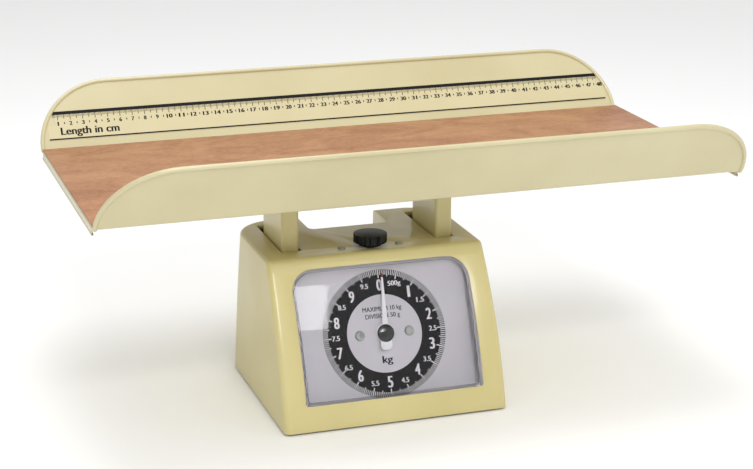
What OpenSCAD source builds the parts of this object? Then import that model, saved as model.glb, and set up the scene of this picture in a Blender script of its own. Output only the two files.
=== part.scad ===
// Spring dial baby scale: a long enamelled tray on two posts over a moulded casing.
// X runs along the tray, Y away from the reader of the dial, Z up. Units are millimetres.

/* [Tray] */
// Length of the tray floor
tray_length = 497; // [470:1:520]
// Width of the tray floor from fold to fold
tray_width = 226; // [200:1:250]
// Height of the underside of the tray floor above the casing's bottom edge
tray_height = 174.5; // [165:0.5:185]
// Length of a side wall measured up its slope
wall_slant = 57.5; // [45:0.5:70]
// Lean of the side walls away from upright
wall_lean = 34; // [20:1:45]
// Thickness of the sheet
sheet = 1; // [0.8:0.1:1.5]
// Radius of the rolled rim
rim_r = 1.8; // [1.2:0.1:2.5]

/* [Casing] */
// Half of the width at the bottom
casing_half = 88; // [80:0.5:95]
// Half of the width at the top
casing_half_top = 86; // [78:0.5:92]
// Height of the casing
casing_height = 118; // [110:0.5:125]
// How far back the top front edge lies
front_back = 53.3; // [45:0.1:60]
// How far the front bulges out of the flat
front_bulge = 7.1; // [0:0.1:10]
// Wall thickness
casing_wall = 2.6; // [2:0.1:3.5]
// Offset of the casing from the middle of the tray
casing_x = -22.5; // [-30:0.5:0]
// Half of the width of the grip notch in the back
notch_half = 32.5; // [25:0.5:40]
// Height of the floor of the grip notch
notch_floor = 60; // [50:1:80]

/* [Dial] */
// Height of the dial's centre
dial_z = 58.5; // [50:0.5:65]
// Distance of the dial's centre behind the casing's front bottom edge
dial_y = 33.4; // [30:0.1:38]
// Lean of the dial backwards
dial_tilt = 22; // [18:0.5:26]
// Radius of the black ring
dial_ring_r = 48.6; // [45:0.1:50]

// How far the pointer rests past zero, clockwise
pointer_rest = 2.75; // [0:0.05:5]

/* [Mechanism] */
// Module of the rack and pinion
tooth_module = 0.5; // [0.4:0.1:0.6]
// Teeth on the pinion
pinion_teeth = 12; // [10:1:16]
// Length of a parallel link between its pivots
link_length = 53; // [45:1:60]
// Turns of the main spring
spring_turns = 9; // [7:1:9]

/* [Hidden] */
$fn = 48;
cream = [0.90, 0.86, 0.66];
steel = [0.72, 0.73, 0.75];
brass = [0.80, 0.66, 0.36];
black = [0.06, 0.06, 0.07];
// The whole part is moved so that its box is centred on the origin and its feet stand at zero.
foot_drop = 2;
front_y = -100;
// Front and back fold of the tray in the casing's own measure.
fold_front = -front_y - tray_width / 2;
fold_back = -front_y + tray_width / 2;
tray_x = -casing_x;
turn_up = 90 - wall_lean;
rim_line = wall_slant - rim_r;
fold_r = 3.2;
fold_tangent = fold_r * tan(turn_up / 2);
// Platform travel follows from one pinion turn for the full load.
pinion_r = tooth_module * pinion_teeth / 2;
rack_travel = 2 * PI * pinion_r;
platform_drop = rack_travel * cos(dial_tilt);
link_rise = asin(platform_drop / 2 / link_length);
fixed_y = 59;
moving_y = 112;
upper_z = 84;
lower_z = 32;
upper_moving_z = upper_z + platform_drop / 2;
lower_moving_z = lower_z + platform_drop / 2;
link_slack = link_length * (1 - cos(link_rise));
drive_y = 33;
drive_z = 38;
drive_slip = platform_drop * tan(dial_tilt);
knob_y = 68.5;
hanger_pin_z = 84;
tongue_pin_z = 46;
post_in = 54.8;
post_out = 68.5;
post_front = 73.6;
post_rear = 126.6;
slot_front = 71.5;
slot_rear = 145;
window_half = 70;
window_low = -48;
window_high = 53.3;

// Places a shape drawn about the casing into the shared frame.
module placed() {
  translate([casing_x, front_y, foot_drop]) {
    children();
  }
}

// Places a shape drawn on the dial: X right, Y up the dial, Z towards the reader.
module on_dial() {
  translate([0, dial_y, dial_z]) {
    rotate([90 - dial_tilt, 0, 0]) {
      children();
    }
  }
}

// Half width of the casing at height share t.
function side_at(t) = casing_half + (casing_half_top - casing_half) * t + 2 * t * (1 - t);
// Front of the casing at height share t.
function front_at(t) = front_back * t - 4 * front_bulge * t * (1 - t) * cos(atan(front_back / casing_height));
// Back of the casing at height share t.
function back_at(t) = 162 - 2 * t;
// Radius of the back corners at height share t.
function corner_at(t) = 14 + 18 * t;
// One corner's arc of points.
function arc_points(cx, cy, r, a) = [for (k = [0 : 8]) [cx + r * cos(a + k * 11.25), cy + r * sin(a + k * 11.25)]];
// A level cut through the casing, drawn in by g.
function level_points(t, g) = concat(
  arc_points(side_at(t) - corner_at(t), back_at(t) - corner_at(t), corner_at(t) - g, 0),
  arc_points(corner_at(t) - side_at(t), back_at(t) - corner_at(t), corner_at(t) - g, 90),
  arc_points(4.5 - side_at(t), front_at(t) + 4.5, max(4.5 - g, 0.6), 180),
  arc_points(side_at(t) - 4.5, front_at(t) + 4.5, max(4.5 - g, 0.6), 270));

// The casing's outside drawn in by g. The top edge is rounded.
module casing_form(g, low) {
  hull() {
    translate([0, 0, low]) {
      linear_extrude(height = 0.02) {
        polygon(level_points(0, g));
      }
    }
    for (i = [1 : 8]) {
      translate([0, 0, (casing_height - 3) * i / 8 - g]) {
        linear_extrude(height = 0.02) {
          polygon(level_points(i / 8 * (casing_height - 3) / casing_height, g));
        }
      }
    }
    for (a = [30 : 30 : 90]) {
      translate([0, 0, casing_height - 3 + 3 * sin(a) - g - 0.02]) {
        linear_extrude(height = 0.02) {
          polygon(level_points(1, g + 3 - 3 * cos(a)));
        }
      }
    }
  }
}

// The grip notch in the back of the casing, grown by g.
module notch_form(g) {
  half = notch_half + g;
  translate([-half, 128 - g, notch_floor - g]) {
    cube([2 * half, 60, 100]);
  }
  translate([5.5 - half + g, 122.5 - g, notch_floor - g]) {
    cube([2 * half - 11 - 2 * g, 60, 100]);
  }
  for (s = [-1, 1]) {
    translate([s * (notch_half - 5.5), 128, notch_floor - g]) {
      cylinder(r = 5.5 + g, h = 100);
    }
  }
}

// The window's outline on the dial plane, drawn in by g: square below, rounded above.
module window_outline(g) {
  r = 17;
  translate([g - window_half, window_low + g]) {
    square([2 * (window_half - g), window_high - window_low - r - g]);
  }
  translate([r - window_half, window_low + g]) {
    square([2 * (window_half - r), window_high - window_low - 2 * g]);
  }
  for (s = [-1, 1]) {
    translate([s * (window_half - r), window_high - r]) {
      circle(r = r - g, $fn = 64);
    }
  }
}

module casing() {
  color(cream) placed() {
    difference() {
      union() {
        difference() {
          casing_form(0, 0);
          difference() {
            casing_form(casing_wall, -1);
            notch_form(2.4);
          }
        }
        for (s = [-1, 1]) {
          translate([s * 23, knob_y, casing_height - 4.6]) {
            cylinder(r = 4.2, h = 3);
          }
          for (y = [24, 132]) {
            translate([s * 70, y, 2.6]) {
              cylinder(r = 4.2, h = y < 50 ? 11 : 26);
            }
            translate([s * 78 - 8, y - 1.2, 2.6]) {
              cube([16, 2.4, y < 50 ? 11 : 26]);
            }
          }
        }
      }
      notch_form(0);
      on_dial() {
        translate([0, 0, -2]) {
          linear_extrude(height = 40) {
            window_outline(-0.15);
          }
        }
      }
      for (s = [-1, 1]) {
        translate([s * 61.5 - 8, slot_front, casing_height - 8]) {
          cube([16, slot_rear - slot_front, 20]);
        }
        translate([s * 23, knob_y, casing_height - 10]) {
          cylinder(r = 1.7, h = 20);
        }
        translate([s * 23, knob_y, casing_height - 1]) {
          cylinder(r = 3.1, h = 5);
        }
        for (y = [24, 132]) {
          translate([s * 70, y, 0]) {
            cylinder(r = 1.5, h = y < 50 ? 12.6 : 22);
          }
        }
      }
      translate([0, knob_y, casing_height - 10]) {
        cylinder(r = 7, h = 20);
      }
      // Cuts away any rib that reaches past the outside.
      for (s = [-1, 1]) {
        translate([s * (casing_half + 12) - 11.5, -20, -5]) {
          cube([23, 200, 40]);
        }
      }
    }
  }
}

module base_plate() {
  color(steel) placed() {
    difference() {
      translate([0, 0, 0.4]) {
        linear_extrude(height = 2) {
          polygon(level_points(0, casing_wall + 1.4));
        }
      }
      for (s = [-1, 1]) {
        for (y = [24, 132]) {
          translate([s * 70, y, -1]) {
            cylinder(r = 1.8, h = 6);
          }
        }
      }
    }
  }
}

module feet() {
  color(black) placed() {
    for (s = [-1, 1]) {
      for (y = [42, 116]) {
        translate([s * 70, y, -foot_drop]) {
          cylinder(r = 8, h = foot_drop + 0.4);
        }
      }
    }
  }
}

module base_screws() {
  color(steel) placed() {
    for (s = [-1, 1]) {
      for (y = [24, 132]) {
        translate([s * 70, y, -1.2]) {
          difference() {
            cylinder(r = 3, h = 1.6);
            translate([-4, -0.4, -1]) {
              cube([8, 0.8, 1.7]);
            }
          }
          translate([0, 0, 1]) {
            cylinder(r = 1.45, h = y < 50 ? 11.6 : 18);
          }
        }
      }
    }
  }
}

module casing_screws() {
  color(steel) placed() {
    for (s = [-1, 1]) {
      translate([s * 23, knob_y, casing_height - 1]) {
        difference() {
          cylinder(r = 2.9, h = 1.5);
          translate([-4, -0.4, 0.8]) {
            cube([8, 0.8, 2]);
          }
        }
        translate([0, 0, -8]) {
          cylinder(r = 1.5, h = 8.5);
        }
      }
    }
  }
}

module lens() {
  color([0.9, 0.93, 0.95, 0.3]) placed() {
    difference() {
      intersection() {
        casing_form(-0.4, 0);
        on_dial() {
          translate([0, 0, 0.1]) {
            linear_extrude(height = 30) {
              window_outline(0);
            }
          }
        }
      }
      intersection() {
        casing_form(1.8, 0);
        on_dial() {
          translate([0, 0, -1]) {
            linear_extrude(height = 30) {
              window_outline(2.2);
            }
          }
        }
      }
    }
  }
}

module dial_plate() {
  color([0.86, 0.84, 0.90]) placed() {
    on_dial() {
      difference() {
        translate([-74, -53, -1]) {
          cube([148, 110, 1]);
        }
        translate([0, 0, -2]) {
          cylinder(r = 1.6, h = 4);
        }
        for (s = [-1, 1]) {
          translate([s * 19.7, 0, -2]) {
            cylinder(r = 2.1, h = 4);
          }
        }
      }
    }
  }
}

module dial_screws() {
  color(steel) placed() {
    on_dial() {
      for (s = [-1, 1]) {
        translate([s * 19.7, 0, 0]) {
          difference() {
            union() {
              cylinder(r = 3.9, h = 1);
              translate([0, 0, 1]) {
                cylinder(r1 = 3.9, r2 = 2.4, h = 0.7);
              }
            }
            translate([-2.2, -0.4, 0.9]) {
              cube([4.4, 0.8, 2]);
            }
            translate([-0.4, -2.2, 0.9]) {
              cube([0.8, 4.4, 2]);
            }
          }
          translate([0, 0, -6]) {
            cylinder(r = 1.5, h = 6.5);
          }
        }
      }
    }
  }
}

// Carries the pointer's shaft and guides the rack behind the dial plate.
module dial_bracket() {
  color(steel) placed() {
    on_dial() {
      difference() {
        translate([-28, -9, -13]) {
          cube([56, 22, 1.2]);
        }
        translate([0, 0, -14]) {
          cylinder(r = 3.03, h = 4);
        }
      }
      for (s = [-1, 1]) {
        translate([s * 19.7, 0, -11.8]) {
          difference() {
            cylinder(r = 3.4, h = 10.8);
            translate([0, 0, 3]) {
              cylinder(r = 1.55, h = 12);
            }
          }
        }
      }
      translate([9.1, -8, -11.8]) {
        cube([2.4, 18, 7]);
      }
      translate([7.6, -8, -11.8]) {
        cube([1.6, 18, 2.4]);
      }
    }
  }
}

module shaft_bush() {
  color(brass) placed() {
    on_dial() {
      translate([0, 0, -13.6]) {
        difference() {
          union() {
            cylinder(r = 3, h = 2.6);
            cylinder(r = 4.4, h = 0.6);
          }
          translate([0, 0, -1]) {
            cylinder(r = 1.54, h = 6);
          }
        }
      }
    }
  }
}

// Side outline of an upright: Y, then Z.
module upright_outline() {
  polygon([[18, 2.4], [96, 2.4], [96, 10], [72, 26], [72, 94], [80, 106], [80, 113.5], [58.2, 113.5], [36.4, 62]]);
}

// Steel frame on the base plate: two uprights, a bridge under the casing's top, a tab guide.
module chassis() {
  color([0.66, 0.67, 0.69]) placed() {
    difference() {
      union() {
        for (s = [-1, 1]) {
          translate([s * 39 - 1, 0, 0]) {
            rotate([90, 0, 90]) {
              linear_extrude(height = 2) {
                upright_outline();
              }
            }
          }
          translate([s * 34 - 4.5, 30, 2.4]) {
            cube([9, 60, 1.6]);
          }
        }
        translate([-38.5, 58.2, 111.5]) {
          cube([77, 21.8, 1.9]);
        }
        for (s = [-1, 1]) {
          translate([s * 10.2 - 1, 63, 90]) {
            cube([2, 11, 22]);
          }
        }
      }
      translate([0, knob_y, 105]) {
        cylinder(r = 2.8, h = 12);
      }
      for (s = [-1, 1]) {
        translate([s * 23, knob_y, 105]) {
          cylinder(r = 1.55, h = 12);
        }
        for (z = [upper_z, lower_z]) {
          translate([s * 39 - 3, fixed_y, z]) {
            rotate([0, 90, 0]) {
              cylinder(r = 2.05, h = 6);
            }
          }
        }
      }
      // Keeps the uprights behind the dial plate.
      on_dial() {
        translate([-60, -80, -1.2]) {
          cube([120, 160, 40]);
        }
      }
    }
  }
}

module link_rivets() {
  color(brass) placed() {
    for (s = [-1, 1]) {
      for (z = [upper_z, lower_z]) {
        translate([s * 41.5 - 5.3, fixed_y, z]) {
          rotate([0, 90, 0]) {
            cylinder(r = 2, h = 10.6);
          }
        }
        translate([s * 46.2 - 0.6, fixed_y, z]) {
          rotate([0, 90, 0]) {
            cylinder(r = 3.6, h = 1.2);
          }
        }
        translate([s * 36.9 - 0.6, fixed_y, z]) {
          rotate([0, 90, 0]) {
            cylinder(r = 3.2, h = 1.2);
          }
        }
      }
    }
  }
}

// The main spring: coils with a round loop at each end.
spring_r = 7;
wire_r = 1;
spring_low = 55;
spring_high = 75;
coil_steps = 18;
loop_r = 5.6;
function coil_point(k) = [spring_r * cos(k * 360 / coil_steps), spring_r * sin(k * 360 / coil_steps),
  (spring_high - spring_low) * k / (spring_turns * coil_steps)];
function wire_point(k, j) = coil_point(k)
  + wire_r * cos(j * 45) * [cos(k * 360 / coil_steps), sin(k * 360 / coil_steps), 0]
  + wire_r * sin(j * 45) * [0, 0, 1];

module spring_coils() {
  last = spring_turns * coil_steps;
  ring = [for (k = [0 : last]) for (j = [0 : 7]) wire_point(k, j)];
  walls = [for (k = [0 : last - 1]) for (j = [0 : 7])
    [k * 8 + j, k * 8 + (j + 1) % 8, (k + 1) * 8 + (j + 1) % 8, (k + 1) * 8 + j]];
  ends = [[for (j = [7 : -1 : 0]) j], [for (j = [0 : 7]) last * 8 + j]];
  polyhedron(points = ring, faces = concat(walls, ends), convexity = 10);
}

module main_spring() {
  color(steel) placed() {
    translate([0, knob_y, spring_low]) {
      spring_coils();
    }
    for (z = [spring_low, spring_high]) {
      translate([-1.4, knob_y, z]) {
        rotate([0, 90, 0]) {
          cylinder(r = wire_r + 0.2, h = spring_r + 2.8, $fn = 20);
        }
      }
    }
    translate([0, knob_y, tongue_pin_z - 2.5 + loop_r]) {
      rotate([90, 90, 90]) {
        rotate_extrude($fn = 48) {
          translate([loop_r, 0]) {
            circle(r = wire_r, $fn = 16);
          }
        }
      }
    }
    translate([0, knob_y, hanger_pin_z + 2.5 - loop_r]) {
      rotate([90, 90, 90]) {
        rotate_extrude($fn = 48) {
          translate([loop_r, 0]) {
            circle(r = wire_r, $fn = 16);
          }
        }
      }
    }
  }
}

// Section of the tray's sheet about one fold, half of the floor included.
function bend_points(r) = [for (k = [0 : 8]) [fold_tangent - r * sin(turn_up * k / 8), fold_r - r * cos(turn_up * k / 8)]];
function slope_point(n) = [n * cos(wall_lean) - rim_line * sin(wall_lean), n * sin(wall_lean) + rim_line * cos(wall_lean)];

module fold_section() {
  inner = bend_points(fold_r - sheet);
  polygon(concat(
    [[tray_width / 2 + 0.01, 0]],
    bend_points(fold_r),
    [slope_point(0), slope_point(sheet)],
    [for (k = [8 : -1 : 0]) inner[k]],
    [[tray_width / 2 + 0.01, sheet]]));
}

// The rounded outline of a side wall, drawn in by g.
module wall_outline(g) {
  half = tray_length / 2;
  r = wall_slant - g;
  translate([wall_slant - half, 5]) {
    square([tray_length - 2 * wall_slant, r - 5]);
  }
  for (s = [-1, 1]) {
    translate([s * (half - wall_slant), 0]) {
      intersection() {
        circle(r = r, $fn = 128);
        translate([s > 0 ? 0 : -90, 5]) {
          square([90, 90]);
        }
      }
    }
  }
}

// One side of the tray about its fold: bent sheet, rounded ends and thick rim.
module tray_side() {
  half = tray_length / 2;
  intersection() {
    translate([3 - half, 0, 0]) {
      rotate([90, 0, 90]) {
        linear_extrude(height = tray_length - 6) {
          fold_section();
        }
      }
    }
    union() {
      wall_frame() {
        translate([0, 0, -8]) {
          linear_extrude(height = 16) {
            wall_outline(1.2);
          }
        }
      }
      translate([-half, -6, -2]) {
        cube([tray_length, 300, 9]);
      }
    }
  }
  wall_frame() {
    translate([0, 0, sheet / 2 - rim_r]) {
      linear_extrude(height = 2 * rim_r) {
        difference() {
          wall_outline(0);
          translate([0, -0.5]) {
            wall_outline(2 * rim_r);
          }
        }
      }
    }
  }
}

// A side wall's own frame: X along the tray, Y up the slope, Z towards the inside.
module wall_frame() {
  rotate([90 + wall_lean, 0, 0]) {
    mirror([0, 0, 1]) {
      children();
    }
  }
}

module tray() {
  color(cream) placed() {
    translate([tray_x, 0, tray_height]) {
      difference() {
        union() {
          for (s = [-1, 1]) {
            translate([s * (tray_length / 2 - 2.5) - 2, fold_front + 5, 0]) {
              cube([4, tray_width - 10, sheet]);
            }
          }
          translate([0, fold_front, 0]) {
            tray_side();
          }
          translate([0, fold_back, 0]) {
            mirror([0, 1, 0]) {
              tray_side();
            }
          }
          for (s = [-1, 1]) {
            translate([s * (tray_length / 2 - 1) - 0.5, fold_front + 6, -4.5]) {
              cube([1, tray_width - 12, 5]);
            }
            translate([s * (tray_length / 2 - 1), fold_front + 6, -4.5]) {
              rotate([-90, 0, 0]) {
                cylinder(r = 1, h = tray_width - 12, $fn = 24);
              }
            }
          }
        }
        for (s = [-1, 1]) {
          for (y = [post_front + 11, post_rear - 11]) {
            translate([s * 61.25 - tray_x, y, -2]) {
              cylinder(r = 2.1, h = 5);
            }
          }
        }
      }
    }
  }
}

module mat() {
  color([0.66, 0.42, 0.27]) placed() {
    translate([tray_x - tray_length / 2 + 1, fold_front + 3.4, tray_height + sheet]) {
      difference() {
        cube([tray_length - 2, tray_width - 6.8, 1.5]);
        for (x = [-61.25, 61.25]) {
          for (y = [post_front + 11, post_rear - 11]) {
            translate([x - tray_x + tray_length / 2 - 1, y - fold_front - 3.4, -1]) {
              cylinder(r = 4.2, h = 2.2);
            }
          }
        }
      }
    }
  }
}

module length_label() {
  color([0.93, 0.90, 0.76]) placed() {
    translate([tray_x, fold_back, tray_height]) {
      mirror([0, 1, 0]) {
        wall_frame() {
          translate([-241, 7.6, sheet]) {
            cube([482, 12.4, 0.2]);
          }
          translate([-234.4, 19.9, sheet]) {
            cube([468.8, 11.3, 0.2]);
          }
        }
      }
    }
  }
}

// Plan of a post with its front edges rounded.
module post_plan(g) {
  w = post_out - post_in - 2 * g;
  d = post_rear - post_front - 2 * g;
  translate([-w / 2, 2.5]) {
    square([w, d - 2.5]);
  }
  translate([2.5 - w / 2, 0]) {
    square([w - 5, 3]);
  }
  for (s = [-1, 1]) {
    translate([s * (w / 2 - 2.5), 2.5]) {
      circle(r = 2.5);
    }
  }
}

// A hollow post with a closed top, screwed to the carrier inside and to the tray above.
module post(s) {
  color(cream) placed() {
    difference() {
      translate([s * (post_in + post_out) / 2, post_front, 34]) {
        linear_extrude(height = tray_height - 34) {
          post_plan(0);
        }
      }
      translate([s * (post_in + post_out) / 2, post_front + 2, 33]) {
        linear_extrude(height = tray_height - 33 - 5) {
          post_plan(2);
        }
      }
      for (y = [post_front + 11, post_rear - 11]) {
        translate([s * 61.25, y, tray_height - 10]) {
          cylinder(r = 1.55, h = 12);
        }
      }
      for (p = [[84, 92], [84, 48], [119, 66]]) {
        translate([s * 55.8 - 3, p[0], p[1]]) {
          rotate([0, 90, 0]) {
            cylinder(r = 1.55, h = 6);
          }
        }
      }
    }
  }
}

module post_left() {
  post(-1);
}

module post_right() {
  post(1);
}

module post_screws() {
  color(steel) placed() {
    for (s = [-1, 1]) {
      for (p = [[84, 92], [84, 48], [119, 66]]) {
        translate([s * 53 - 5, p[0], p[1]]) {
          rotate([0, 90, 0]) {
            cylinder(r = 1.5, h = 10);
          }
        }
        translate([s * 48.2 - 0.8, p[0], p[1]]) {
          rotate([0, 90, 0]) {
            cylinder(r = 3, h = 1.6);
          }
        }
      }
    }
  }
}

module tray_screws() {
  color(steel) placed() {
    for (s = [-1, 1]) {
      for (y = [post_front + 11, post_rear - 11]) {
        translate([s * 61.25, y, tray_height + sheet]) {
          cylinder(r = 3.8, h = 1);
        }
        translate([s * 61.25, y, tray_height - 4.5]) {
          cylinder(r = 1.5, h = 6);
        }
      }
    }
  }
}

// A slot for a link's shaft in a carrier plate.
module shaft_slot(z) {
  for (y = [moving_y - link_slack - 0.1, moving_y + 0.1]) {
    translate([0, y, z]) {
      rotate([0, 90, 0]) {
        cylinder(r = 2.1, h = 8, center = true);
      }
    }
  }
  translate([-4, moving_y - link_slack - 0.1, z - 2.1]) {
    cube([8, link_slack + 0.2, 4.2]);
  }
}

// Steel frame between the posts: side plates, a cross plate and the tongue the spring pulls.
module carrier() {
  color([0.70, 0.71, 0.73]) placed() {
    difference() {
      union() {
        for (s = [-1, 1]) {
          translate([s * 50 - 1, 76, 33]) {
            cube([2, 49, 68]);
          }
          for (p = [[84, 92], [84, 48], [119, 66]]) {
            translate([s * 52.85 - 1.95, p[0], p[1]]) {
              rotate([0, 90, 0]) {
                cylinder(r = 4.5, h = 3.9);
              }
            }
          }
          translate([s * 7.75 - 0.75, 62, 43.5]) {
            cube([1.5, 57, 7.5]);
          }
        }
        translate([-50.5, 118.4, 36]) {
          cube([101, 1.5, 16]);
        }
        translate([-8, 82, 43.5]) {
          cube([16, 37, 1.5]);
        }
        translate([-8.5, knob_y, tongue_pin_z]) {
          rotate([0, 90, 0]) {
            cylinder(r = 1.5, h = 17, $fn = 32);
          }
        }
        // The arm that drives the rack.
        translate([7, 0, 0]) {
          rotate([90, 0, 90]) {
            linear_extrude(height = 1.5) {
              polygon([[70, 43.5], [70, 49], [62, 48.6], [31, 40.2], [31, 35.8], [62, 43.5]]);
            }
          }
        }
        translate([4.4, drive_y, drive_z]) {
          rotate([0, 90, 0]) {
            cylinder(r = 1.5, h = 4, $fn = 32);
          }
        }
      }
      for (s = [-1, 1]) {
        for (z = [upper_moving_z, lower_moving_z]) {
          translate([s * 50, 0, 0]) {
            shaft_slot(z);
          }
        }
        for (p = [[84, 92], [84, 48], [119, 66]]) {
          translate([s * 52 - 4, p[0], p[1]]) {
            rotate([0, 90, 0]) {
              cylinder(r = 1.6, h = 8);
            }
          }
        }
      }
    }
  }
}

// A parallel link: two arms turning on the chassis rivets and a shaft in the carrier.
module link(z) {
  color(steel) placed() {
    for (s = [-1, 1]) {
      translate([s * 44.4, fixed_y, z]) {
        rotate([link_rise, 0, 0]) {
          difference() {
            union() {
              translate([-1, 0, -4]) {
                cube([2, link_length, 8]);
              }
              for (y = [0, link_length]) {
                translate([-1, y, 0]) {
                  rotate([0, 90, 0]) {
                    cylinder(r = 5, h = 2);
                  }
                }
              }
            }
            translate([-2, 0, 0]) {
              rotate([0, 90, 0]) {
                cylinder(r = 2.05, h = 4);
              }
            }
          }
        }
      }
    }
    translate([-52.6, moving_y - link_slack, z + platform_drop / 2]) {
      rotate([0, 90, 0]) {
        cylinder(r = 2, h = 105.2);
      }
    }
  }
}

// The retaining rings on a link's shaft.
module link_clips(z) {
  color(black) placed() {
    for (s = [-1, 1]) {
      translate([s * 51.7 - 0.4, moving_y - link_slack, z + platform_drop / 2]) {
        rotate([0, 90, 0]) {
          difference() {
            cylinder(r = 3.6, h = 0.8);
            translate([0, 0, -1]) {
              cylinder(r = 2.03, h = 3);
            }
          }
        }
      }
    }
  }
}

module upper_link() {
  link(upper_z);
}

module upper_clips() {
  link_clips(upper_z);
}

module lower_link() {
  link(lower_z);
}

module lower_clips() {
  link_clips(lower_z);
}

// Involute tooth of the pinion.
base_r = pinion_r * cos(20);
tooth_half = (PI * tooth_module / 2 - 0.05) / 2 / pinion_r * 180 / PI;
function involute(r) = tan(acos(min(1, base_r / r))) * 180 / PI - acos(min(1, base_r / r));
function flank_angle(r) = tooth_half + involute(pinion_r) - involute(max(r, base_r));
tooth_radii = [2.5, 2.83, 2.95, 3.1, 3.25, 3.42];
function tooth_side(a, s) = [for (r = tooth_radii) [r * cos(a + s * flank_angle(r)), r * sin(a + s * flank_angle(r))]];
function tooth_points(a) = concat(tooth_side(a, -1), [for (i = [5 : -1 : 0]) tooth_side(a, 1)[i]]);

module pinion_shaft() {
  color(brass) placed() {
    on_dial() {
      translate([0, 0, -9]) {
        linear_extrude(height = 3.6) {
          polygon([for (k = [0 : pinion_teeth - 1]) for (p = tooth_points(k * 360 / pinion_teeth)) p]);
        }
      }
      translate([0, 0, -10.9]) {
        cylinder(r = 2.3, h = 2);
      }
      translate([0, 0, -13.5]) {
        cylinder(r = 1.5, h = 16.6);
      }
    }
  }
}

// Rack outline: X away from the pinion, Y up the dial.
pitch = PI * tooth_module;
rack_tooth = (pitch / 2 - 0.05) / 2;
function rack_points() = [for (k = [-3 : 14]) for (q = [[3.6, -rack_tooth - 0.6 * tan(20)],
  [2.66, -rack_tooth + 0.34 * tan(20)], [2.66, rack_tooth - 0.34 * tan(20)],
  [3.6, rack_tooth + 0.6 * tan(20)]]) [q[0], q[1] + (k + 0.5) * pitch]];

module rack() {
  color(brass) placed() {
    on_dial() {
      translate([0, 0, -9.2]) {
        linear_extrude(height = 4) {
          polygon(concat([[9, -12], [3.6, -12]], rack_points(), [[3.6, 24.5], [9, 24.5]]));
        }
      }
    }
    // The slotted plate that the carrier's pin moves.
    translate([5, 0, 0]) {
      rotate([90, 0, 90]) {
        difference() {
          linear_extrude(height = 1.6) {
            polygon([[29.2, 34.6], [43.8, 34.6], [43.8, 41.4], [41, 43.4], [37.6, 52], [32.4, 48], [29.2, 41.4]]);
          }
          for (y = [drive_y - 0.1, drive_y + drive_slip + 0.1]) {
            translate([y, drive_z, -1]) {
              cylinder(r = 1.56, h = 4, $fn = 32);
            }
          }
          translate([drive_y - 0.1, drive_z - 1.56, -1]) {
            cube([drive_slip + 0.2, 3.12, 4]);
          }
        }
      }
    }
  }
}

module pointer() {
  color([0.95, 0.95, 0.96]) placed() {
    on_dial() {
      rotate([0, 0, -pointer_rest]) {
        translate([0, 0, 2.4]) {
          difference() {
            linear_extrude(height = 0.7) {
              polygon([[-2.9, -12.2], [-1.6, -12.6], [1.6, -12.6], [2.9, -12.2], [4, -11.2], [4.6, -9.6],
                [4.4, -5.5], [2.6, 0], [2.1, 7], [0.45, 45.6], [-0.45, 45.6], [-2.1, 7], [-2.6, 0],
                [-4.4, -5.5], [-4.6, -9.6], [-4, -11.2]]);
            }
            translate([0, 0, -1]) {
              cylinder(r = 1.52, h = 3);
            }
          }
        }
      }
    }
  }
}

module pointer_hub() {
  color([0.95, 0.95, 0.96]) placed() {
    on_dial() {
      translate([0, 0, 0.9]) {
        difference() {
          union() {
            cylinder(r = 7.6, h = 1.1);
            cylinder(r = 4, h = 1.5);
          }
          translate([0, 0, -1]) {
            cylinder(r = 1.52, h = 5);
          }
        }
      }
    }
  }
}

module pointer_cap() {
  color(black) placed() {
    on_dial() {
      intersection() {
        translate([0, 0, 5 - 13.5]) {
          sphere(r = 13.5, $fn = 96);
        }
        translate([0, 0, 3.12]) {
          cylinder(r = 6.8, h = 6, $fn = 64);
        }
      }
    }
  }
}

module zero_screw() {
  color(steel) placed() {
    translate([0, knob_y, 90.5]) {
      cylinder(r = 2.5, h = casing_height - 90.5 + 4);
    }
    translate([0, knob_y, 113.42]) {
      cylinder(r = 5, h = 1.6);
    }
  }
}

module zero_knob() {
  color(black) placed() {
    translate([0, knob_y, casing_height + 1]) {
      difference() {
        union() {
          cylinder(r = 9, h = 3, $fn = 64);
          translate([0, 0, 2.4]) {
            cylinder(r = 12.9, h = 6.4, $fn = 96);
          }
          translate([0, 0, 8]) {
            cylinder(r = 12.2, h = 1.4, $fn = 96);
          }
        }
        translate([0, 0, 7]) {
          cylinder(r = 10.6, h = 4, $fn = 64);
        }
        translate([0, 0, -1]) {
          cylinder(r = 2.51, h = 4.02);
        }
        for (k = [0 : 39]) {
          rotate([0, 0, k * 9]) {
            translate([13.2, 0, 2]) {
              cylinder(r = 0.7, h = 7.4, $fn = 16);
            }
          }
        }
      }
    }
  }
}

// The nut the zero screw lifts, with the pin the spring hangs from.
module spring_hanger() {
  color(steel) placed() {
    difference() {
      union() {
        translate([-9.1, 61.5, 92]) {
          cube([18.2, 14, 8]);
        }
        for (s = [-1, 1]) {
          translate([s * 7.5 - 1, 64, 81]) {
            cube([2, 9, 12]);
          }
        }
        translate([-8.4, knob_y, hanger_pin_z]) {
          rotate([0, 90, 0]) {
            cylinder(r = 1.5, h = 16.8, $fn = 32);
          }
        }
      }
      translate([0, knob_y, 88]) {
        cylinder(r = 2.56, h = 16);
      }
    }
  }
}

casing();
base_plate();
feet();
base_screws();
casing_screws();
lens();
dial_plate();
dial_screws();
dial_bracket();
shaft_bush();
chassis();
link_rivets();
main_spring();
tray();
mat();
length_label();
post_left();
post_right();
post_screws();
tray_screws();
carrier();
upper_link();
upper_clips();
lower_link();
lower_clips();
rack();
pinion_shaft();
pointer();
pointer_hub();
pointer_cap();
zero_screw();
zero_knob();
spring_hanger();
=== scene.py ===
# %% [markdown]
# # A spring dial baby scale
# A long enamelled tray stands on two posts over a moulded casing, and a pointer turns behind a
# clear window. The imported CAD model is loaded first, as a fixed frame. Each visible piece is then
# modelled over it with Blender's own tools and given its finish.

# %% Load the frame
import bpy, bmesh, math
from mathutils import Matrix, Vector


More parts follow.
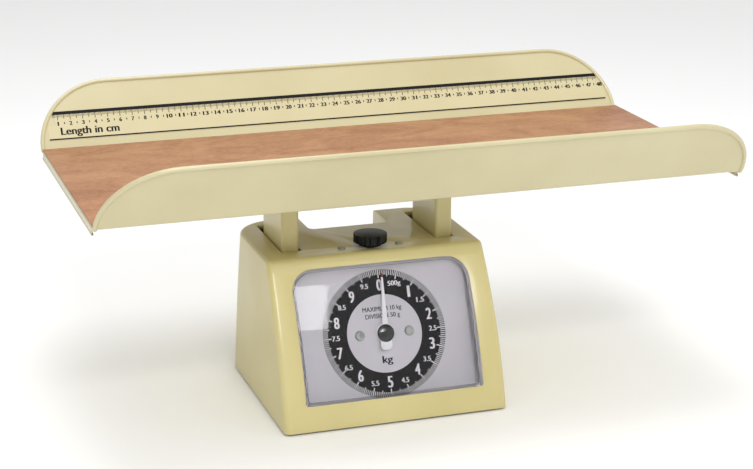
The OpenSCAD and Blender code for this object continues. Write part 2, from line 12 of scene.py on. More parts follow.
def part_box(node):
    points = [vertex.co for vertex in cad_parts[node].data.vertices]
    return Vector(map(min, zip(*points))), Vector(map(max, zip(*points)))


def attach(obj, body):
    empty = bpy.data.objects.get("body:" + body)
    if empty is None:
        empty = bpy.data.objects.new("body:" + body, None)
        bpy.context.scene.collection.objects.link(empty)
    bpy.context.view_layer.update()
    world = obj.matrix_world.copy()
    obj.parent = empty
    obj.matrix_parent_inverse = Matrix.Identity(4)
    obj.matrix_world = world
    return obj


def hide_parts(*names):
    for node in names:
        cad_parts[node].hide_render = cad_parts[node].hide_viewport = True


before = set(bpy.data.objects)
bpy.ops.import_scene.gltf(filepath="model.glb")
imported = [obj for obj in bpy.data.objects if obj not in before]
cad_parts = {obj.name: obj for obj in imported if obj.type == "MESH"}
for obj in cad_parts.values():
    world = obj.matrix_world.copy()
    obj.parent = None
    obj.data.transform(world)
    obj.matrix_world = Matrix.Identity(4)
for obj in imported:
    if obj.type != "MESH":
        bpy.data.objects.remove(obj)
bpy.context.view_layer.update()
MM = 0.001

# %% [markdown]
# ## Working as by hand
# An operator acts on everything that is selected, so each step starts by clearing the selection.
# Faces, edges and corners are chosen by where they are and which way they face, which stays right
# when a size changes.


# %% Choosing in edit mode
def clear():
    if bpy.context.object and bpy.context.object.mode != "OBJECT":
        bpy.ops.object.mode_set(mode="OBJECT")
    bpy.ops.object.select_all(action="DESELECT")


def work_on(piece, edit=False):
    clear()
    piece.select_set(True)
    bpy.context.view_layer.objects.active = piece
    if edit:
        bpy.ops.object.mode_set(mode="EDIT")


def pick(kind, test):
    """Selects the faces, edges or corners whose middle (in mm) and direction pass the test."""
    bpy.ops.mesh.select_mode(type=kind)
    bpy.ops.mesh.select_all(action="DESELECT")
    data = bpy.context.object.data
    mesh = bmesh.from_edit_mesh(data)
    found = 0
    if kind == "FACE":
        for f in mesh.faces:
            f.select_set(bool(test(f.calc_center_median() / MM, f.normal)))
            found += f.select
    elif kind == "EDGE":
        for e in mesh.edges:
            a, b = e.verts[0].co, e.verts[1].co
            e.select_set(bool(test((a + b) / 2 / MM, e)))
            found += e.select
    else:
        for v in mesh.verts:
            v.select_set(bool(test(v.co / MM, v)))
            found += v.select
    mesh.select_flush_mode()
    bmesh.update_edit_mesh(data)
    return found


print("choosing tools ready")


# %% [markdown]
# ## Settling a piece
# A finished piece keeps its place in its mesh, with its object at the origin. Doubles are merged and
# the faces are turned outwards before the piece rides on the body that carries it.


# %% Finishing a piece
def add_modifier(piece, kind, **values):
    work_on(piece)
    step = piece.modifiers.new(kind.title(), kind)
    for name, value in values.items():
        setattr(step, name, value)
    bpy.ops.object.modifier_apply(modifier=step.name)


def place(piece, where=None):
    work_on(piece)
    if where is not None:
        piece.matrix_world = where @ piece.matrix_world
        bpy.context.view_layer.update()
    bpy.ops.object.transform_apply(location=True, rotation=True, scale=True)


def turn_outwards(piece):
    work_on(piece, edit=True)
    bpy.ops.mesh.select_all(action="SELECT")
    bpy.ops.mesh.remove_doubles(threshold=0.00001)
    bpy.ops.mesh.normals_make_consistent(inside=False)
    clear()


def join(pieces, name):
    clear()
    for one in pieces:
        one.select_set(True)
    bpy.context.view_layer.objects.active = pieces[0]
    if len(pieces) > 1:
        bpy.ops.object.join()
    whole = bpy.context.object
    whole.name = name
    return whole


def smooth(piece, angle=35):
    work_on(piece)
    bpy.ops.object.shade_smooth_by_angle(angle=math.radians(angle))


def settle(piece, body, *nodes):
    place(piece)
    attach(piece, body)
    if nodes:
        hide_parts(*nodes)
    piece.data.materials.clear()
    faces = len(piece.data.polygons)
    print(piece.name, "rides on", body, "with", faces, "faces")


def cut(piece, tool, operation="DIFFERENCE"):
    add_modifier(piece, "BOOLEAN", object=tool, operation=operation, solver="EXACT")
    bpy.data.objects.remove(tool)


print("finishing tools ready")

# %% [markdown]
# ## Flat outlines
# Most parts begin as a rectangle whose corners are rounded with the bevel tool and whose face is
# then extruded. The same two steps make the casing's level rings, the cutters for its openings and
# the sheet parts.


# %% Rectangles with rounded corners
def rectangle(name, x, y, z=0.0, new=True):
    """A plane from x[0] to x[1] and y[0] to y[1], in mm. new=False adds it to the open mesh."""
    middle = Vector(((x[0] + x[1]) / 2, (y[0] + y[1]) / 2, z)) * MM
    if new:
        clear()
    bpy.ops.mesh.primitive_plane_add(size=MM, location=middle if not new else (0, 0, 0))
    if new:
        bpy.context.object.name = name
        bpy.ops.object.mode_set(mode="EDIT")
        bpy.ops.mesh.select_all(action="SELECT")
        bpy.ops.transform.translate(value=middle)
    size = (x[1] - x[0], y[1] - y[0], 1)
    bpy.ops.transform.resize(value=size, center_override=middle)
    return bpy.context.object


def round_corners(z, radius, at, segments=8):
    """Rounds the corners of the outline at height z that pass the test."""
    pick("VERT", lambda c, v: abs(c.z - z) < 0.01 and at(c))
    bpy.ops.mesh.bevel(offset=radius * MM, segments=segments, profile=0.5, affect="VERTICES")


def raise_face(by):
    bpy.ops.mesh.select_mode(type="FACE")
    bpy.ops.mesh.select_all(action="SELECT")
    bpy.ops.mesh.extrude_region_move(TRANSFORM_OT_translate={"value": Vector(by) * MM})
    bpy.ops.mesh.select_all(action="SELECT")
    bpy.ops.mesh.normals_make_consistent(inside=False)


print("outline tools ready")

# %% [markdown]
# ## The two working planes
# Everything printed on the dial is drawn flat on the ground and then stood up into the dial's
# plane, which leans back by 22 degrees. The rule is drawn flat too, and laid on the tray's back
# wall, which leans out by 34 degrees.

# %% The dial's plane and the rule's plane
LEAN = math.radians(34)
TILT = math.radians(22)
casing_low, casing_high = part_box("casing")
tray_low, tray_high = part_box("tray")
mid_x = (casing_low.x + casing_high.x) / 2 / MM
front_y = casing_low.y / MM
dial = (Matrix.Translation(Vector((mid_x, front_y + 33.4, 60.5)) * MM)
        @ Matrix.Rotation(math.radians(90) - TILT, 4, "X"))
fold_y, sheet_low = 113.0, 176.5
hole_y = front_y + 68.5  # the line of the knob and the casing's two screws
rule = (Matrix.Translation(Vector((0, fold_y, sheet_low)) * MM)
        @ Matrix.Rotation(math.radians(90) - LEAN, 4, "X"))
print("casing middle", round(mid_x, 2), "front", round(front_y, 2), "mm")

# %% [markdown]
# ## The tray
# The tray is one sheet, 1 mm thick, with its long sides folded up and its edges rolled. It
# starts as the flat floor. The folds are spun, because a spin gives a true bend. The walls grow from
# them in steps that get shorter in the length too, which draws the round ends. The sheet gets its
# thickness last, so both faces stay parallel.

# %% The floor and its two folds
HALF = tray_high.x / MM
end_half = HALF - 2.0
fold_r = 2.7
BEND = math.radians(90) - LEAN
flat_half = fold_y - (fold_r + 0.5) * math.tan(BEND / 2)
START_Y = 107
tray = rectangle("scale_tray", (-end_half, end_half), (-START_Y, START_Y), sheet_low + 0.5)
for side in (-1, 1):
    pick("EDGE", lambda c, e: c.y * side > START_Y - 0.1)
    bpy.ops.mesh.extrude_region_move(
        TRANSFORM_OT_translate={"value": Vector((0, side * (flat_half - START_Y), 0)) * MM})
    bpy.ops.mesh.spin(steps=8, angle=-side * BEND, axis=(1, 0, 0),
                      center=Vector((0, side * flat_half, sheet_low + 0.5 + fold_r)) * MM)
print("folds:", len(tray.data.vertices), "corners so far")


# %% The walls with round ends
def up_wall(c, side):
    """How far a point lies up the slope of a side wall."""
    return (side * c.y - fold_y) * math.sin(LEAN) + (c.z - sheet_low) * math.cos(LEAN)


WALL_STEPS = 15
wall_r = 55.7
round_x = HALF - 57.5
for side in (-1, 1):
    before = fold_r * math.tan(BEND / 2)
    half_before = end_half
    for k in range(1, WALL_STEPS + 1):
        share = math.radians(90) * k / WALL_STEPS
        rise = wall_r * math.sin(share)
        half = round_x + wall_r * math.cos(share)
        pick("EDGE", lambda c, e: c.y * side > fold_y - 2 and abs(c.x) < 1 and e.is_boundary)
        step = Vector((0, side * math.sin(LEAN), math.cos(LEAN))) * (rise - before) * MM
        bpy.ops.mesh.extrude_region_move(TRANSFORM_OT_translate={"value": step})
        bpy.ops.transform.resize(value=(half / half_before, 1, 1), center_override=(0, 0, 0))
        before, half_before = rise, half
print("walls rise", round(wall_r, 1), "mm up their slope")

# %% The turned-down lips at both ends
for side in (-1, 1):
    pick("EDGE", lambda c, e: c.x * side > end_half - 0.1 and abs(c.y) < 1 and e.is_boundary)
    bpy.ops.mesh.spin(steps=4, angle=-side * math.radians(90), axis=(0, 1, 0),
                      center=Vector((side * end_half, 0, sheet_low - 0.5)) * MM)
    pick("EDGE", lambda c, e: c.x * side > end_half + 0.5 and abs(c.y) < 1 and e.is_boundary)
    bpy.ops.mesh.extrude_region_move(TRANSFORM_OT_translate={"value": Vector((0, 0, -4)) * MM})
print("lips turned down")


# %% [markdown]
# ### Rolled edges
# The rim is the sheet's own edge rolled into a bead. Its line is copied from the wall's free edge,
# made a curve, given a round section and made a mesh again, so it follows the wall exactly.

# %% The rolled rim and the lip beads
def roll_edge(name, test, radius):
    work_on(tray, edit=True)
    pick("EDGE", test)
    bpy.ops.mesh.duplicate()
    bpy.ops.mesh.separate(type="SELECTED")
    bpy.ops.object.mode_set(mode="OBJECT")
    bead = [o for o in bpy.context.selected_objects if o is not tray][0]
    work_on(bead)
    bpy.ops.object.convert(target="CURVE")
    bead = bpy.context.object
    bead.name = name
    bead.data.bevel_depth = radius * MM
    bead.data.bevel_resolution = 4
    bead.data.use_fill_caps = True
    bpy.ops.object.convert(target="MESH")
    bead = bpy.context.object
    turn_outwards(bead)
    print(name, "has", len(bead.data.polygons), "faces")
    return bead


beads = []
for side in (-1, 1):
    beads.append(roll_edge("rim", lambda c, e: e.is_boundary and c.y * side > flat_half + 0.05, 1.8))
    beads.append(roll_edge("lip", lambda c, e: e.is_boundary and c.x * side > end_half
                           and c.z < sheet_low - 4 and abs(c.y) < 1, 1.0))

# %% Thickness, then one piece
turn_outwards(tray)
add_modifier(tray, "SOLIDIFY", thickness=MM, offset=0, use_even_offset=True)
tray = join([tray] + beads, "scale_tray")
smooth(tray, 40)
settle(tray, "platform", "tray")

# %% [markdown]
# ## The mat
# A leathercloth mat lies flat on the floor. It is a thin slab with a soft upper edge and a small
# pocket under it for each screw head.

# %% The mat
mat_low, mat_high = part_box("mat")
lo, hi = mat_low / MM, mat_high / MM
mat = rectangle("tray_mat", (lo.x, hi.x), (lo.y, hi.y), lo.z)
raise_face((0, 0, hi.z - lo.z))
pick("EDGE", lambda c, e: c.z > hi.z - 0.01)
bpy.ops.mesh.bevel(offset=0.45 * MM, segments=3, profile=0.5, affect="EDGES")
clear()
for screw_x in (-61.25, 61.25):
    for screw_y in (-15.4, 15.6):
        middle = Vector((mid_x + screw_x, screw_y, lo.z + 0.2)) * MM
        bpy.ops.mesh.primitive_cylinder_add(vertices=24, radius=4.2 * MM, depth=2 * MM,
                                            location=middle)
        cut(mat, bpy.context.object)
smooth(mat, 40)
settle(mat, "platform", "mat")

# %% [markdown]
# ## The casing
# The moulded casing leans back and bulges a little at the front. It is made like a loft: one level
# outline with rounded corners at each height, and faces bridged between them. The grip notch is cut
# before the wall gets its thickness, so the notch has walls too. The window, the slots and the
# screw holes are cut last, through one wall.


# %% Level outlines and the loft
CASING_HIGH = 118.0
CASING_FOOT = 2.0
SET_BACK = 53.3  # how far the front's top edge lies behind its foot
BULGE = 7.1


def casing_front(t):
    return SET_BACK * t - 4 * BULGE * t * (1 - t) * math.cos(math.atan(SET_BACK / CASING_HIGH))


def casing_loft(name, grown, rings):
    """The casing's outer form, grown by some mm, from rings + 1 level outlines."""
    for k in range(rings + 1):
        t = k / rings
        z = CASING_FOOT + CASING_HIGH * t + (grown if k == rings else 0)
        half = 88 - 2 * t + 2 * t * (1 - t) + grown
        y0 = front_y + casing_front(t) - grown
        y1 = front_y + 162 - 2 * t + grown
        piece = rectangle(name, (mid_x - half, mid_x + half), (y0, y1), z, new=(k == 0))
        round_corners(z, 4.5 + grown, lambda c: c.y < y0 + 0.1)
        round_corners(z, 14 + 18 * t + grown, lambda c: c.y > y1 - 0.1)
    bpy.ops.mesh.select_mode(type="FACE")
    bpy.ops.mesh.select_all(action="SELECT")
    bpy.ops.mesh.delete(type="ONLY_FACE")
    bpy.ops.mesh.select_mode(type="EDGE")
    bpy.ops.mesh.select_all(action="SELECT")
    bpy.ops.mesh.bridge_edge_loops(type="SINGLE")
    for z in (CASING_FOOT, CASING_FOOT + CASING_HIGH + grown):
        pick("EDGE", lambda c, e: abs(c.z - z) < 0.01)
        bpy.ops.mesh.edge_face_add()
    turn_outwards(piece)
    return piece


casing = casing_loft("scale_casing", 0.0, 14)
work_on(casing, edit=True)
pick("EDGE", lambda c, e: c.z > CASING_FOOT + CASING_HIGH - 0.01)
bpy.ops.mesh.bevel(offset=3 * MM, segments=5, profile=0.5, affect="EDGES")
clear()
print("casing outside:", len(casing.data.polygons), "faces")


# %% Cutters
def prism(name, x, y, z, corners=(), segments=8):
    """A closed block in mm. corners lists (radius, test) for the upright edges to round."""
    block = rectangle(name, x, y, z[0])
    for radius, at in corners:
        round_corners(z[0], radius, at, segments)
    raise_face((0, 0, z[1] - z[0]))
    clear()
    return block


def in_casing(x, y):
    return (mid_x + x[0], mid_x + x[1]), (front_y + y[0], front_y + y[1])


x, y = in_casing((-32.5, 32.5), (122.5, 180))
cut(casing, prism("notch", x, y, (62, 160), [(5.5, lambda c: c.y < front_y + 123)]))
work_on(casing, edit=True)
pick("FACE", lambda c, n: n.z < -0.9 and c.z < 3)
bpy.ops.mesh.delete(type="FACE")
clear()
add_modifier(casing, "SOLIDIFY", thickness=2.6 * MM, offset=-1, use_even_offset=True)
print("casing wall:", len(casing.data.polygons), "faces")


# %% The window, the slots and the holes
def window(name, inset, n):
    """A block with the window's outline, made smaller by the inset, from n[0] to n[1] off the dial."""
    top, half = 53.3 - inset, 70 - inset
    block = prism(name, (-half, half), (-48 + inset, top), n,
                  [(17 - inset, lambda c: c.y > top - 0.1), (2.2, lambda c: c.y < -47 + inset)])
    place(block, dial)
    return block


cut(casing, window("window", -0.15, (-2, 40)))
for side in (-1, 1):
    x, y = in_casing((side * 61.5 - 8, side * 61.5 + 8), (71.5, 145))
    cut(casing, prism("slot", x, y, (112, 130), [(1.2, lambda c: True)], 4))
for hole_x, radius, low in ((0, 7, 108), (-23, 1.7, 108), (23, 1.7, 108),
                            (-23, 3.1, 119), (23, 3.1, 119)):
    middle = Vector((mid_x + hole_x, hole_y, low + 10)) * MM
    bpy.ops.mesh.primitive_cylinder_add(vertices=48, radius=radius * MM, depth=20 * MM, location=middle)
    cut(casing, bpy.context.object)
add_modifier(casing, "BEVEL", width=0.5 * MM, segments=2, limit_method="ANGLE",
             angle_limit=math.radians(50))
smooth(casing, 32)
settle(casing, "base", "casing")

# %% [markdown]
# ## The window
# The window is a clear moulded box that fills the opening and follows the front's bulge. It is what
# the window's outline and the casing's form have in common, made twice, and the smaller is taken
# from the larger. A soft bevel on its edges catches the light.

# %% The clear window
lens = window("clear_window", 0.0, (0.1, 40))
cut(lens, casing_loft("outer_form", 0.4, 24), "INTERSECT")
hollow = window("hollow", 2.2, (-1, 40))
cut(hollow, casing_loft("inner_form", -1.8, 24), "INTERSECT")
cut(lens, hollow)
add_modifier(lens, "BEVEL", width=0.7 * MM, segments=3, limit_method="ANGLE",
             angle_limit=math.radians(40))
smooth(lens, 28)
settle(lens, "base", "lens")

# %% [markdown]
# ## Printing on the dial
# The dial is printed in black and white on a painted plate. Each mark is a very thin shape drawn
# flat about the dial's centre and then stood up into the dial's plane. A tick is modelled once and
# copied round.


# %% The black ring
def ring(name, r_in, r_out, height, n=0.0, segments=128):
    """A flat washer about the dial's centre."""
    clear()
    bpy.ops.mesh.primitive_circle_add(vertices=segments, radius=r_out * MM, fill_type="NGON",
                                      location=(0, 0, n * MM))
    piece = bpy.context.object
    piece.name = name
    bpy.ops.object.mode_set(mode="EDIT")
    bpy.ops.mesh.select_all(action="SELECT")
    bpy.ops.mesh.inset(thickness=(r_out - r_in) * MM * math.cos(math.pi / segments))
    bpy.ops.mesh.delete(type="FACE")
    raise_face((0, 0, height))
    clear()
    return piece


INK = 0.05
black_ring = ring("dial_ring", 29.7, 48.6, INK)
place(black_ring, dial)
settle(black_ring, "base")


# %% The ticks
def bar_at(x, y, n):
    """The matrix that stretches a 1 mm square over x[0] to x[1] and y[0] to y[1], n above the plane."""
    middle = Vector(((x[0] + x[1]) / 2, (y[0] + y[1]) / 2, n)) * MM
    return Matrix.Translation(middle) @ Matrix.Diagonal((x[1] - x[0], y[1] - y[0], 1, 1))


def stamp(name, bars, height, plane):
    """One thin bar for each matrix, all in one piece, laid on the plane."""
    made = []
    clear()
    for bar in bars:
        bpy.ops.mesh.primitive_plane_add(size=MM, location=(0, 0, 0))
        bpy.context.object.matrix_world = bar
        made.append(bpy.context.object)
    piece = join(made, name)
    place(piece)
    bpy.ops.object.mode_set(mode="EDIT")
    raise_face((0, 0, height))
    clear()
    place(piece, plane)
    return piece


TICKS = 200
TICK_END = 48.5
bars = []
for k in range(TICKS):
    start, wide = (42.1, 0.85) if k % 10 == 0 else (43.4, 0.7) if k % 5 == 0 else (44.6, 0.62)
    turn = Matrix.Rotation(-math.radians(k * 360 / TICKS), 4, "Z")
    bars.append(turn @ bar_at((-wide / 2, wide / 2), (start, TICK_END), 0.03))
ticks = stamp("dial_ticks", bars, 0.08, dial)
settle(ticks, "base")


# %% [markdown]
# ### Figures
# Blender's own text is made a mesh and stretched to its printed width and height. To make it bold it
# is printed three times, a hair apart, because thickening the outline closes the holes of small
# figures. Only plain figures and units are drawn.

# %% Figures and words
def write(name, words, size, centre, plane, weight=0.02, n=0.0):
    """Writes words of this (width, height) in mm, centred in the plane given."""
    prints = []
    for shift in (-weight, 0, weight):
        clear()
        bpy.ops.object.text_add(location=(0, 0, 0))
        text = bpy.context.object
        text.data.body = words
        text.data.resolution_u = 4
        text.data.extrude = 0.003
        bpy.ops.object.convert(target="MESH")
        text = bpy.context.object
        text.location = (shift, 0, shift * 0.1)
        prints.append(text)
    text = join(prints, name)
    place(text)
    corners = [v.co for v in text.data.vertices]
    low = Vector(min(c[k] for c in corners) for k in range(3))
    high = Vector(max(c[k] for c in corners) for k in range(3))
    across, tall = (high - low).x, (high - low).y
    shape = (Matrix.Diagonal((size[0] / across * MM, size[1] / tall * MM, size[1] / tall * MM, 1))
             @ Matrix.Translation(-(low + high) / 2))
    place(text, plane @ Matrix.Translation(Vector((centre[0], centre[1], n)) * MM) @ shape)
    return text


figures = []
for k in range(10):
    a = math.radians(36 * k)
    spot = (38.6 * math.sin(a), 36.8 * math.cos(a))
    figures.append(write("figure", str(k), (2.2 if k == 1 else 4.3, 8.6), spot, dial, 0.04, 0.10))
for k in range(10):
    a = math.radians(18 + 36 * k)
    spot = (38.6 * math.sin(a), 38.6 * math.cos(a))
    words, wide = ("500g", 10.4) if k == 0 else (str(k) + ".5", 6.2)
    figures.append(write("figure", words, (wide, 4.9 if k == 0 else 3.8), spot, dial, 0.035, 0.10))
figures = join(figures, "dial_figures")
settle(figures, "base")
words = [write("words", "MAXIMUM 10 kg", (31, 4.6), (0, 18.4), dial, 0.02, 0.05),
         write("words", "DIVISION 50 g", (27.5, 4.6), (0, 13.0), dial, 0.02, 0.05),
         write("words", "kg", (8.4, 7.2), (0, -20.5), dial, 0.03, 0.05)]
words = join(words, "dial_words")
settle(words, "base")

# %% [markdown]
# ## The pointer
# The pointer is a thin pressed strip: narrow at the tip, which is painted red, and wide at the tail.
# It grows from one square by extruding its upper edge step by step and changing its width. A white
# washer and a domed black cap hold it on its shaft.

# %% The pointer's blade
REST = 2.75
turned = dial @ Matrix.Rotation(-math.radians(REST), 4, "Z")


def blade(name, rows, n, thick):
    """A strip whose half widths change along its length. rows lists (distance, half width)."""
    (first, half), (second, next_half) = rows[:2]
    strip = rectangle(name, (-half, half), (first, second), n)
    pick("EDGE", lambda c, e: c.y > second - 0.001)
    bpy.ops.transform.resize(value=(next_half / half, 1, 1), center_override=(0, 0, 0))
    for (near, old), (far, new) in zip(rows[1:], rows[2:]):
        bpy.ops.mesh.extrude_region_move(
            TRANSFORM_OT_translate={"value": Vector((0, far - near, 0)) * MM})
        bpy.ops.transform.resize(value=(new / old, 1, 1), center_override=(0, 0, 0))
    raise_face((0, 0, thick))
    clear()
    return strip


RED_FROM, RED_HALF = 42.4, 0.75
BLADE_N, BLADE_THICK = 2.4, 0.6
outline = [(-12.6, 1.6), (-12.2, 2.9), (-11.2, 4.0), (-9.6, 4.6), (-5.5, 4.4), (0, 2.6), (7, 2.1),
           (RED_FROM, RED_HALF)]
needle = blade("pointer_blade", outline, BLADE_N, BLADE_THICK)
add_modifier(needle, "BEVEL", width=0.15 * MM, segments=2, limit_method="ANGLE",
             angle_limit=math.radians(50))
place(needle, turned)
settle(needle, "needle", "pointer")
tip = blade("pointer_tip", [(RED_FROM, RED_HALF), (44.6, 0.68), (45.5, 0.4)], BLADE_N, BLADE_THICK)
place(tip, turned)
settle(tip, "needle")

# %% The washer and the domed cap
washer = ring("pointer_washer", 1.6, 7.4, 1.0, 0.9, 96)
add_modifier(washer, "BEVEL", width=0.3 * MM, segments=3, limit_method="ANGLE",
             angle_limit=math.radians(50))
place(washer, dial)
smooth(washer)
settle(washer, "needle", "pointer_hub")
clear()
DOME_R, DOME_TOP, DOME_FOOT = 13.5, 5, 3.2
bpy.ops.mesh.primitive_uv_sphere_add(segments=64, ring_count=64, radius=DOME_R * MM,
                                     location=(0, 0, (DOME_TOP - DOME_R) * MM))
cap = bpy.context.object
cap.name = "pointer_dome"
bpy.ops.object.mode_set(mode="EDIT")
bpy.ops.mesh.select_all(action="SELECT")
bpy.ops.mesh.bisect(plane_co=(0, 0, DOME_FOOT * MM), plane_no=(0, 0, 1), use_fill=True,
                    clear_inner=True)
bpy.ops.mesh.extrude_region_move(TRANSFORM_OT_translate={"value": (0, 0, -0.08 * MM)})
clear()
turn_outwards(cap)
place(cap, dial)
smooth(cap, 40)
settle(cap, "needle", "pointer_cap")

# %% [markdown]
# ## The dial's screws
# Two cross-headed screws hold the dial. Each is a low turned head with a soft edge, and its cross is
# sunk by cutting it with two thin blocks.

# %% Two cross-headed screws
HEAD_HIGH = 1.5
heads = []
for screw_x in (-19.7, 19.7):
    clear()
    bpy.ops.mesh.primitive_cone_add(vertices=48, radius1=3.9 * MM, radius2=3.1 * MM,
                                    depth=HEAD_HIGH * MM,
                                    location=Vector((screw_x, 0, HEAD_HIGH / 2)) * MM)
    head = bpy.context.object
    bpy.ops.object.mode_set(mode="EDIT")
    pick("EDGE", lambda c, e: c.z > HEAD_HIGH - 0.1 and math.hypot(c.x - screw_x, c.y) > 2.5)
    bpy.ops.mesh.bevel(offset=0.4 * MM, segments=3, affect="EDGES")
    clear()
    for w, h in ((4.6, 1.0), (1.0, 4.6)):
        bar = prism("slot", (screw_x - w / 2, screw_x + w / 2), (-h / 2, h / 2), (0.3, 3))
        cut(head, bar)
    heads.append(head)
heads = join(heads, "dial_screw_heads")
place(heads, dial)
smooth(heads, 30)
settle(heads, "base", "dial_screws")

# %% [markdown]
# ## The zero knob
# The knob is a moulded disc with a knurled edge and a dished top. Every fourth face of its edge is
# pushed in, which makes 40 grooves. The top is inset, raised to a rim, inset again and sunk for the
# dish.

# %% The knurled knob
def side_number(c):
    """Which of the knob's sides a point is on, counted round its axis."""
    turn = math.degrees(math.atan2(c.y - hole_y, c.x - mid_x))
    return int(round(turn * KNOB_SIDES / 360 - 0.5))


KNOB_SIDES = 160
KNOB_HIGH = 6.4
knob_z = 123.4
clear()
bpy.ops.mesh.primitive_cylinder_add(vertices=KNOB_SIDES, radius=12.9 * MM, depth=KNOB_HIGH * MM,
                                    end_fill_type="NGON",
                                    location=Vector((mid_x, hole_y, knob_z + KNOB_HIGH / 2)) * MM)
knob = bpy.context.object
knob.name = "zero_dial"
bpy.ops.object.mode_set(mode="EDIT")
grooves = pick("FACE", lambda c, n: abs(n.z) < 0.1 and side_number(c) % 4 == 0)
bpy.ops.mesh.inset(thickness=0.1 * MM, depth=-0.45 * MM, use_individual=True)
pick("FACE", lambda c, n: n.z > 0.9 and c.z > knob_z + 6)
bpy.ops.mesh.inset(thickness=0.7 * MM)
bpy.ops.mesh.extrude_region_move(TRANSFORM_OT_translate={"value": (0, 0, 0.6 * MM)})
bpy.ops.mesh.inset(thickness=1.5 * MM)
bpy.ops.mesh.extrude_region_move(TRANSFORM_OT_translate={"value": (0, 0, -2.4 * MM)})
bpy.ops.mesh.inset(thickness=0.8 * MM, depth=-0.2 * MM)
clear()
bpy.ops.mesh.primitive_cylinder_add(vertices=96, radius=9 * MM, depth=3 * MM,
                                    location=Vector((mid_x, hole_y, 122.5)) * MM)
knob = join([knob, bpy.context.object], "zero_dial")
add_modifier(knob, "BEVEL", width=0.25 * MM, segments=2, limit_method="ANGLE",
             angle_limit=math.radians(60))
smooth(knob, 40)
settle(knob, "zero_control", "zero_knob")
print("grooves cut:", grooves)

# %% [markdown]
# ## The rule on the back wall
# A printed strip on the inside of the back wall measures length in centimetres. A thick line runs
# over it, fine marks hang from that line, and figures stand below them. The bars are made flat, all
# in one piece, and laid on the wall.


# %% Bars of the rule
def lines(name, bars, n, height):
    """Rectangles on the rule. bars gives (from, to, low, high) in mm for each."""
    return stamp(name, [bar_at((u0, u1), (s0, s1), n) for u0, u1, s0, s1 in bars], height, rule)


ZERO_U = -242.1
MARK_TOP = 29.3
strip = lines("rule_strip", [(-241, 241, 7.6, 20), (-234.4, 234.4, 20, 31.2)], 1.0, 0.2)
settle(strip, "platform", "length_label")
heavy = lines("rule_lines", [(-236, 236, 29.2, 31.9), (-240.5, 241, 7.9, 9.1)], 1.05, 0.2)
settle(heavy, "platform")
fine = [(ZERO_U + k - 0.16, ZERO_U + k + 0.16, 26.9, MARK_TOP) for k in range(6, 479) if k % 5]
fine += [(ZERO_U + k - 0.25, ZERO_U + k + 0.25, 25.6 if k % 10 else 24.6, MARK_TOP)
         for k in range(10, 479, 5)]
fine += [(ZERO_U + k - 0.35, ZERO_U + k + 0.35, 21.0, 22.6) for k in range(15, 480, 10)]
marks = lines("rule_marks", fine, 1.2, INK)
settle(marks, "platform")

# %% Figures of the rule
numbers = [write("number", str(k), (1.3 if k == 1 else 2.3 if k < 10 else 5.0, 3.3),
                 (ZERO_U + 10 * k, 21.6), rule, 0.05, 1.2 + INK) for k in range(1, 49)]
numbers.append(write("heading", "Length in cm", (47, 8.2), (-207.5, 14.0), rule, 0.035, 1.2 + INK))
numbers = join(numbers, "rule_figures")
settle(numbers, "platform")

# %% [markdown]
# ## The pieces that keep their CAD shape
# The posts, the screws, the feet and the works inside are already the right shape. Their meshes are
# loose triangles, so a Weld modifier closes them before a Bevel modifier softens their edges. Both
# stay live, because a CAD mesh is never changed.

# %% Soft edges on the CAD pieces
replaced = {"tray", "mat", "length_label", "casing", "lens", "dial_screws", "pointer", "pointer_hub",
            "pointer_cap", "zero_knob"}
for node_name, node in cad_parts.items():
    if node_name in replaced:
        continue
    weld = node.modifiers.new("Weld", "WELD")
    weld.merge_threshold = 0.000005
    soft = node.modifiers.new("Bevel", "BEVEL")
    soft.width = (0.5 if node_name.startswith("post_") and "screws" not in node_name else 0.12) * MM
    soft.segments = 2
    soft.limit_method = "ANGLE"
    soft.angle_limit = math.radians(55)
    soft.use_clamp_overlap = True
print("CAD pieces kept:", len(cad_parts) - len(replaced))

# %% [markdown]
# ## Finishes
# Each finish is a Principled shader fed by node groups. The groups work on Object coordinates, in
# metres, so a scale of 700 makes marks about 1.4 mm across. They give out colours, roughness values
# and heights; the shader itself stays in the material.


# %% Colours and small node tools
def paint(r, g, b):
    """A screen colour (0 to 255 in each channel) in Blender's linear values."""
    def one(v):
        v /= 255
        return v / 12.92 if v <= 0.04045 else ((v + 0.055) / 1.055) ** 2.4
    return (one(r), one(g), one(b), 1.0)


def new_group(name, inputs, outputs):
    tree = bpy.data.node_groups.new(name, "ShaderNodeTree")
    kinds = {"c": "NodeSocketColor", "f": "NodeSocketFloat", "v": "NodeSocketVector"}
    for label, kind, value in inputs:
        socket = tree.interface.new_socket(label, in_out="INPUT", socket_type=kinds[kind])
        if value is not None:
            socket.default_value = value
    for label, kind in outputs:
        tree.interface.new_socket(label, in_out="OUTPUT", socket_type=kinds[kind])
    return tree, tree.nodes.new("NodeGroupInput"), tree.nodes.new("NodeGroupOutput")


def noise(tree, vector, scale, detail=3.0, rough=0.55):
    node = tree.nodes.new("ShaderNodeTexNoise")
    node.inputs["Detail"].default_value = detail
    node.inputs["Roughness"].default_value = rough
    if isinstance(scale, (int, float)):
        node.inputs["Scale"].default_value = scale
    else:
        tree.links.new(scale, node.inputs["Scale"])
    if vector is not None:
        tree.links.new(vector, node.inputs["Vector"])
    return node.outputs["Fac"]


def maths(tree, kind, a, b, clamp=False):
    node = tree.nodes.new("ShaderNodeMath")
    node.operation = kind
    node.use_clamp = clamp
    for socket, value in zip(node.inputs, (a, b)):
        if isinstance(value, (int, float)):
            socket.default_value = value
        else:
            tree.links.new(value, socket)
    return node.outputs[0]


